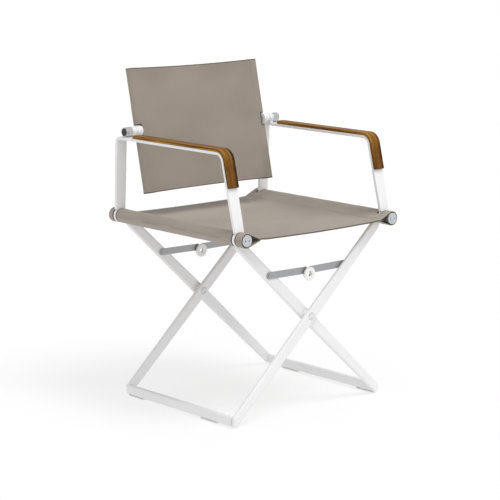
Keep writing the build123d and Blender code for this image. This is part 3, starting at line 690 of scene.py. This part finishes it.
def make_seat_sleeve(name, s):
    """The sleeve of one rail, slit for the arm eyes and open under the rail for the legs."""
    big = Vector((s * RAIL.x, RAIL.z))
    small = Vector((s * APEX.x, APEX.y))
    outline = hull_outline(big, SLEEVE_R - SLEEVE_EASE, small, APEX_R, SLEEVE_GRID)
    slots = leg_slots(s)
    edges = [e for slot in (*EYES, *slots) for e in slot]
    eye_shade_marks = [e for low, high in EYES for e in (low - EYE_SHADE_WIDE, high + EYE_SHADE_WIDE)]
    stations = steps(SEAT_LOW.y, SEAT_HIGH.y, CLOTH_GRID, *edges, *eye_shade_marks)

    def place(p, y):
        far = (p - big).length
        loose = smooth(0.018, 0.026, far) * (1 - smooth(0.03, 0.04, far))
        end = seat_depth(y)
        pucker = 0.00055 * ripple((p.x * 20, y * 26, p.y * 20), 1, 3.0 + s)
        soft = -0.0012 * loose * smooth(0.02, 0.12, end) * (0.6 + ripple((0, y * 9, 0), 1, 8.0))
        flare = 0.0002 * smooth(0.02, 0, end)
        out = (p - big).normalized() * (min(0.0, pucker - 0.0003) + soft + flare)
        return Vector((p.x + out.x, y, p.y + out.y))

    def keep(p, y):
        outboard = s * p.x - RAIL.x
        in_eye = any(a < y < b for a, b in EYES) and abs(outboard) < EYE_HALF
        below = p.y < RAIL.z + LEG_NOTCH_TOP and outboard < LEG_NOTCH_OUT
        return not (in_eye or below and any(a < y < b for a, b in slots))

    def at_edge(at):
        by_eye = any(a - EYE_SHADE_WIDE < at.y < b + EYE_SHADE_WIDE for a, b in EYES)
        return by_eye and abs(s * at.x - RAIL.x) < EYE_HALF

    sleeve = cloth_sleeve(f"seat_sleeve_{name}", outline, stations, place, keep, SLEEVE_CLOTH)
    finish(sleeve, "seat_cloth")
    # painted shade beside the slits round the arm eyes
    paint_edge_shade(sleeve, "seat_edge", at_edge)
    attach(sleeve, f"side_{name}")


make_seat()


# ---------------------------------------------------------------- backrest
HINGE = middle("back_hinge_pin_left")
TUBE = middle("back_tube_plugs_left")
TILT = atan2(HINGE.z - TUBE.z, TUBE.y - HINGE.y)
BACK_UP = Vector((0, sin(TILT), cos(TILT)))
BACK_OUT = Vector((0, -cos(TILT), sin(TILT)))
BACK_LOW, BACK_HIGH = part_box("back_cloth")
POCKET_WIDE = 2 * (BACK_HIGH.x - TUBE.x)
POCKET_THICK = 0.0162
POCKET_EASE = 0.0006
POCKET_GRID = 0.0024
BACK_LENGTH = ((BACK_HIGH.z - BACK_LOW.z) - POCKET_THICK * sin(TILT)) / cos(TILT)
POCKET_IN = TUBE.x - POCKET_WIDE / 2 + POCKET_THICK / 2
BACK_LAP = 0.010  # the panel runs on over the front of the pockets
LUG_HALF = 0.0155
LUG_SET = 0.0035  # the notch for the lug starts this far outboard of the tube's middle
LUG_SHADE_WIDE = 0.0028  # width of the painted shade beside that notch
BACK_HEM = 0.015
BACK_STITCH = BACK_HEM - 0.003
BACK_BOW = 0.0026  # how far the top and bottom edges are drawn in, half way along
BACK_HOLLOW = 0.0045
BACK_FOLDS = 0.0026
BACK_ROW_END = 0.003


def back_point(x, depth, height):
    """A point of the backrest: depth is forwards of the tubes, height is up the slope."""
    return Vector((x, TUBE.y, TUBE.z)) + BACK_OUT * depth + BACK_UP * height


def back_depth(point):
    """How far a point of the backrest is from the nearer of its top and bottom edges."""
    return BACK_LENGTH / 2 - abs((point - back_point(0, 0, 0)).dot(BACK_UP))


def back_bow(x):
    """How far the top and bottom edges are drawn towards the middle between the tubes."""
    return BACK_BOW * max(0, 1 - (x / TUBE.x) ** 2)


def back_edge(x, height):
    """The height of a point of the panel once its edges are bowed."""
    share = height / (BACK_LENGTH / 2)
    return height - back_bow(x) * share**3


def back_place(x, height):
    """The middle of the back panel: flush with the pockets, hollowed and softly folded between."""
    span = max(0, 1 - (x / POCKET_IN) ** 2)
    front = POCKET_THICK / 2 + 0.0001 - back_half(x, height)
    hollow = BACK_HOLLOW * span**2
    fold = BACK_FOLDS * ripple((x * 4.5, height * 11, 0), 1, 4.0) * smooth(0, 0.3, span)
    tug = 0.0009 * ripple((x * 3, height * 24, 0), 1, 6.0) * smooth(0, 0.2, span)
    tug *= smooth(0.13, 0.17, abs(x))
    return back_point(x, front - hollow + fold + tug, back_edge(x, height))


def back_half(x, height):
    """Half the thickness: double at the hems, thin where it lies on the pockets."""
    depth = BACK_LENGTH / 2 - abs(height)
    thick = CLOTH / 2 * (1.9 - 0.9 * smooth(BACK_HEM - 0.002, BACK_HEM, depth))
    groove = GROOVE * max(0, 1 - abs(depth - BACK_STITCH) / BACK_GROOVE)
    lap = 1 - LAP_TAPER * smooth(POCKET_IN - 0.001, POCKET_IN + BACK_LAP, abs(x))
    return max(THINNEST, (thick - groove) * edge_round(depth, 0.002) * lap)


def make_back():
    """The back cloth: a panel between two pockets for the tubes."""
    half = BACK_LENGTH / 2
    hem = (BACK_STITCH - BACK_GROOVE, BACK_STITCH, BACK_STITCH + BACK_GROOVE, BACK_HEM)
    marks = [side * (half - d) for side in (1, -1) for d in (*EDGE_STEPS, EDGE_SHADE_WIDE, *hem)]
    heights = steps(-half, half, CLOTH_GRID, *marks)
    reach = POCKET_IN + BACK_LAP
    panel = cloth_sheet(
        "back_panel", steps(-reach, reach, 0.008), heights, back_place, BACK_OUT, back_half
    )
    finish(panel, "back_cloth")
    # painted shade along the back's top and bottom edges
    paint_edge_shade(panel, "back_edge", lambda at: back_depth(at) - back_bow(at.x) < EDGE_SHADE_WIDE)
    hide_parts("back_cloth")
    rows = []
    marks = steps(-POCKET_IN + BACK_ROW_END, POCKET_IN - BACK_ROW_END, SEW_STEP)
    for height in (half - BACK_STITCH, BACK_STITCH - half):
        for side in (1, -1):
            top = BACK_OUT * (back_half(0, height) * side)
            rows += sewn(marks, lambda x: back_place(x, height) + top, BACK_OUT * side)
    thread = stitches("back_hem_stitching", rows, 0.0001)
    for piece in (panel, thread):
        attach(piece, "back_right")
        crumple(piece, POCKET_IN)
    for name, s in SIDES:
        make_back_pocket(name, s)


def make_back_pocket(name, s):
    """The pocket round one back tube, cut away where the hinge lug comes out of its side."""
    tube = Vector((s * TUBE.x, 0))
    outline = slot_outline(tube, POCKET_WIDE - POCKET_EASE, POCKET_THICK, POCKET_GRID)
    half = BACK_LENGTH / 2
    lug_x = TUBE.x + LUG_SET
    marks = [side * d for side in (1, -1) for d in (LUG_HALF, LUG_HALF + EDGE_SHADE_WIDE, half - EDGE_SHADE_WIDE)]
    stations = steps(-half, half, CLOTH_GRID, *marks)

    def place(p, height):
        rel = p - tube
        calm = 1 - 0.9 * smooth(-0.003, 0.004, p.y)
        pucker = 0.0005 * ripple((p.x * 30, height * 30, p.y * 30), 1, 11.0 + s) * calm
        flare = 0.0003 * smooth(0.012, 0.0, half - abs(height)) * calm
        out = rel.normalized() * (min(0, pucker - 0.0002) + flare)
        return back_point(p.x + out.x, p.y + out.y, height)

    def keep(p, height):
        return not (abs(height) < LUG_HALF and s * p.x > lug_x)

    def at_edge(at):
        by_lug = half - back_depth(at) < LUG_HALF + EDGE_SHADE_WIDE
        return back_depth(at) < EDGE_SHADE_WIDE or by_lug and s * at.x > lug_x - LUG_SHADE_WIDE

    pocket = cloth_sleeve(f"back_pocket_{name}", outline, stations, place, keep, SLEEVE_CLOTH)
    finish(pocket, "back_cloth")
    # painted shade along the pocket's ends and beside the lug notch
    paint_edge_shade(pocket, "back_edge", at_edge)
    inner_x = s * (POCKET_IN + 0.0004)
    depth = 0.0002 - POCKET_THICK / 2
    marks = steps(-half + BACK_ROW_END, half - BACK_ROW_END, SEW_STEP)
    rows = sewn(marks, lambda height: back_point(inner_x, depth, height), -BACK_OUT)
    thread = stitches(f"back_seam_stitching_{name}", rows, 0.0)
    for piece in (pocket, thread):
        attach(piece, f"back_{name}")


make_back()


# ---------------------------------------------------------------- armrest wood
BAR_BEND_Y = -0.189  # the arm bar's middle line turns down here,
BAR_BEND_R = 0.024  # round this radius,
POST_FOOT_Z = 0.5002  # and its front post ends here
TEAK_EASE = 0.0022  # rounding of the strip's upper edges
TEAK_FOOT_EASE = 0.003  # rounding of its foot
TEAK_SIDE_PLAY = 0.0002
TEAK_END_DROP = 0.0012  # the upper face dips this much at both ends,
TEAK_END_RUN = 0.0025  # over this length
TEAK_CHAMFER = 0.0006  # along the lower edges
GRAIN_SHIFT = 0.31  # the two strips are cut from different places of the board


class TeakStrip:
    """The strip on one arm: its middle line in the YZ plane, from the rear end to the foot."""

    def __init__(self, name):
        low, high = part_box(f"armrest_wood_{name}")
        bar_low, bar_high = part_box(f"arm_{name}")
        self.x = (low.x + high.x) / 2
        self.half_wide = (high.x - low.x) / 2 - TEAK_SIDE_PLAY
        self.thick = high.z - bar_high.z
        self.z = bar_high.z + self.thick / 2
        self.rear = high.y
        drop = bar_high.z - BAR_HALF - POST_FOOT_Z
        self.lean = atan2(BAR_BEND_Y - bar_low.y - BAR_HALF, drop)
        self.turn = pi / 2 - self.lean
        offset = BAR_HALF + self.thick / 2
        self.bend_r = BAR_BEND_R + offset
        corner_y = BAR_BEND_Y - offset * tan(self.turn / 2)
        cut = self.bend_r * tan(self.turn / 2)
        self.centre = Vector((corner_y + cut, self.z - self.bend_r))
        self.straight = self.rear - corner_y - cut
        self.bend_end = self.straight + self.bend_r * self.turn
        foot_slant = self.thick / 2 * tan(self.lean)
        self.total = self.bend_end + (self.z - low.z) / cos(self.lean) - cut - foot_slant

    def path(self, t):
        """Place and outward direction at a distance t from the rear end."""
        if t <= self.straight:
            return Vector((self.rear - t, self.z)), Vector((0, 1))
        angle = min(t - self.straight, self.bend_r * self.turn) / self.bend_r
        out = Vector((-sin(angle), cos(angle)))
        way = Vector((-sin(self.lean), -cos(self.lean)))
        return self.centre + out * self.bend_r + way * max(0, t - self.bend_end), out

    def half_at(self, t):
        """Half the width: drawn in to a round at the rear end, and eased at the foot."""
        half = self.half_wide
        if t < half:
            half = sqrt(max(1e-8, half**2 - (half - t) ** 2))
        to_foot = self.total - t
        if to_foot < TEAK_FOOT_EASE:
            half -= TEAK_FOOT_EASE - sqrt(max(0, TEAK_FOOT_EASE**2 - (TEAK_FOOT_EASE - to_foot) ** 2))
        return half

    def section(self, t):
        """The cross-section as (across, out) points, anticlockwise from the middle of the top."""
        half = self.half_at(t)
        ease = min(TEAK_EASE, half * 0.6)
        to_end = min(t, self.total - t)
        top = self.thick / 2 - TEAK_END_DROP * (1 - smooth(0, TEAK_END_RUN, to_end))
        under = -self.thick / 2
        corner = [
            (half - ease + ease * sin(a), top - ease + ease * cos(a))
            for a in [pi / 2 * i / 4 for i in range(5)]
        ]
        right = corner + [(half, under + TEAK_CHAMFER), (half - TEAK_CHAMFER, under)]
        left = [(-x, h) for x, h in reversed(right)]
        below = [(x, under) for x in (half * 0.5, 0.0, -half * 0.5)]
        above = [(x, top) for x in (-half * 0.5, 0.0, half * 0.5)]
        return right + below + left + above


def make_armrest(name, s):
    """The bent teak strip, with eased edges and its grain running along the bend."""
    strip = TeakStrip(name)
    foot = strip.total - TEAK_FOOT_EASE
    rear_round = [strip.half_wide * (1 - cos(pi / 2 * i / 9)) for i in range(10)]
    foot_round = [foot + TEAK_FOOT_EASE * sin(pi / 2 * i / 4) for i in range(5)]
    along = steps(strip.half_wide, foot, 0.006, strip.straight, strip.bend_end)
    bend = steps(strip.straight, strip.bend_end, 0.0025)
    stations = sorted({*rear_round, *along, *bend, *foot_round})
    count = len(strip.section(strip.half_wide))
    points, coords = [], []
    for t in stations:
        place, out = strip.path(t)
        around = 0.0
        last = None
        for x, h in strip.section(t):
            around += hypot(x - last[0], h - last[1]) if last else 0
            last = (x, h)
            at = place + out * h
            points.append(Vector((strip.x + x, at.x, at.y)))
            coords.append((t + GRAIN_SHIFT * s, around))
    faces = []
    for j in range(len(stations) - 1):
        for k in range(count):
            a, b = j * count + k, j * count + (k + 1) % count
            faces.append((a, b, b + count, a + count))
    faces.append(tuple(reversed(range(count))))
    faces.append(tuple(range(len(points) - count, len(points))))
    wood = make_mesh(f"armrest_teak_{name}", points, faces)
    map_grain(wood, coords, count)
    finish(wood, "wood")
    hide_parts(f"armrest_wood_{name}")
    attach(wood, f"side_{name}")


def map_grain(wood, coords, count):
    """Lays the grain map on the strip: its length runs along u, and v goes round the section."""
    layer = wood.data.uv_layers.new(name="grain")
    girth = max(around for _, around in coords)
    for face in wood.data.polygons:
        corners = [wood.data.loops[i].vertex_index for i in face.loop_indices]
        closes = len(corners) == 4 and {v % count for v in corners} == {0, count - 1}
        for i, v in zip(face.loop_indices, corners):
            along, around = coords[v]
            layer.data[i].uv = (along, around + (girth if closes and v % count == 0 else 0))


for side_name, side in SIDES:
    make_armrest(side_name, side)


# ---------------------------------------------------------------- studio
KEY_FROM = Vector((0.25, -0.52, 1.15))
KEY_POWER = 1.5
FILL_FROM = Vector((-0.75, -0.75, 0.30))
FILL_POWER = 0.5
SKY_POWER = 0.70
FLOOR_GLOW = 0.655
FLOOR_COLOR = (0.30, 0.295, 0.297)
FLOOR_REACH = 60
FLOOR_UNDER = -0.0002  # just below the feet
KEY_SPREAD = 28  # degrees
FILL_SPREAD = 80


def make_studio():
    """A pale floor to the horizon, an even sky, a soft high light and a very soft low one."""
    reach = FLOOR_REACH
    corners = [(-reach, -reach), (reach, -reach), (reach, reach), (-reach, reach)]
    floor = make_mesh("floor", [(x, y, FLOOR_UNDER) for x, y in corners], [(0, 1, 2, 3)])
    s = Shade("floor", FLOOR_COLOR, 0.8)
    s.bsdf.inputs["Specular IOR Level"].default_value = 0.1
    s.bsdf.inputs["Emission Color"].default_value = (1, 1, 1, 1)
    s.bsdf.inputs["Emission Strength"].default_value = FLOOR_GLOW
    floor.data.materials.append(s.mat)
    world = bpy.data.worlds.new("surround")
    world.use_nodes = True
    background = world.node_tree.nodes["Background"]
    background.inputs["Color"].default_value = (1, 1, 1, 1)
    background.inputs["Strength"].default_value = SKY_POWER
    bpy.context.scene.world = world
    make_sun("key", KEY_FROM, KEY_POWER, KEY_SPREAD)
    make_sun("fill", FILL_FROM, FILL_POWER, FILL_SPREAD)
    bpy.context.scene.view_settings.view_transform = "Standard"


def make_sun(name, comes_from, power, spread):
    """One far light. A wide spread in degrees gives it soft shadows."""
    data = bpy.data.lights.new(name, "SUN")
    data.energy = power
    data.angle = radians(spread)
    sun = bpy.data.objects.new(name, data)
    bpy.context.scene.collection.objects.link(sun)
    sun.rotation_euler = (-comes_from).to_track_quat("-Z", "Y").to_euler()


make_studio()
